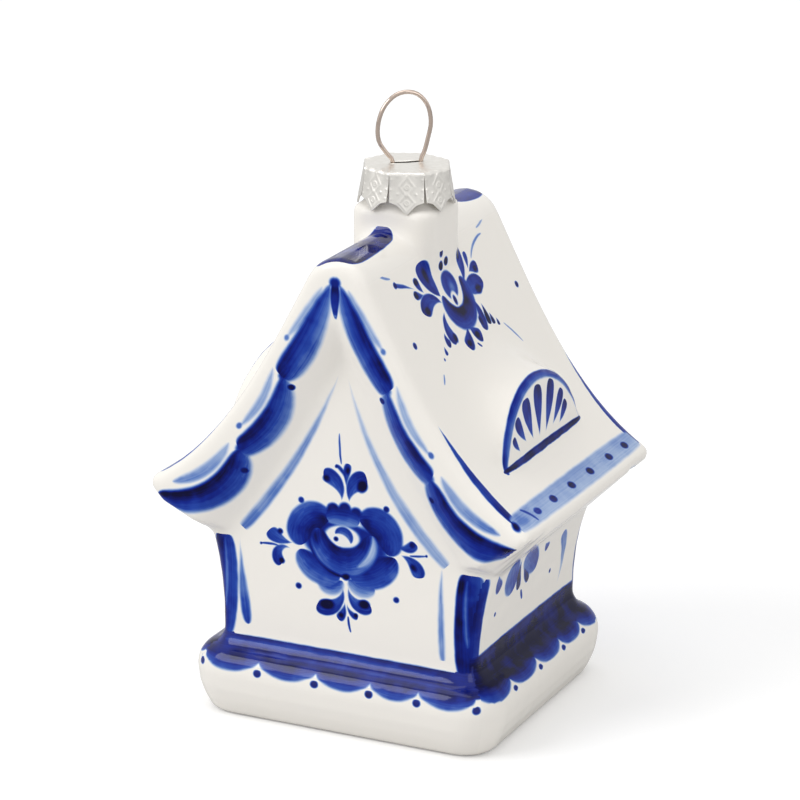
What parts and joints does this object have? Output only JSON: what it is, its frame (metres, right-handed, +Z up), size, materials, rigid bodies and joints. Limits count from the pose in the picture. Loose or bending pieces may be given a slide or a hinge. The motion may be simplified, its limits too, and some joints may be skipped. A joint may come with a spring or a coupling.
{
  "type": "house-shaped hanging ornament",
  "caption": "Hollow glazed porcelain cottage with a bell-cast gable roof and eyebrow windows, closed by a pressed crown cap with a spring-wire hanging loop.",
  "frame": {"origin": "middle of the plinth's underside, which stands on the table", "axes": "+Z up through the neck and the hanging loop, -Y towards the pictured front gable, the ridge along Y"},
  "size_m": [0.0744, 0.0584, 0.1137],
  "materials": {
    "porcelain": "warm white glaze over cobalt brushwork",
    "cap_sheet": "satin pressed sheet",
    "spring_wire": "drawn wire, faintly pink"
  },
  "bodies": {
    "house": {"house_shell": "porcelain"},
    "cap": {"neck_cap": "cap_sheet"},
    "loop": {"hanger_loop": "spring_wire"}
  },
  "joints": [
    {"name": "cap_lift", "type": "slide", "parent": "house", "child": "cap", "axis": [0, 0, 1], "range_m": [0, 0.026]},
    {"name": "loop_slide", "type": "slide", "parent": "cap", "child": "loop", "axis": [0, 0, 1], "range_m": [0, 0.003]}
  ]
}
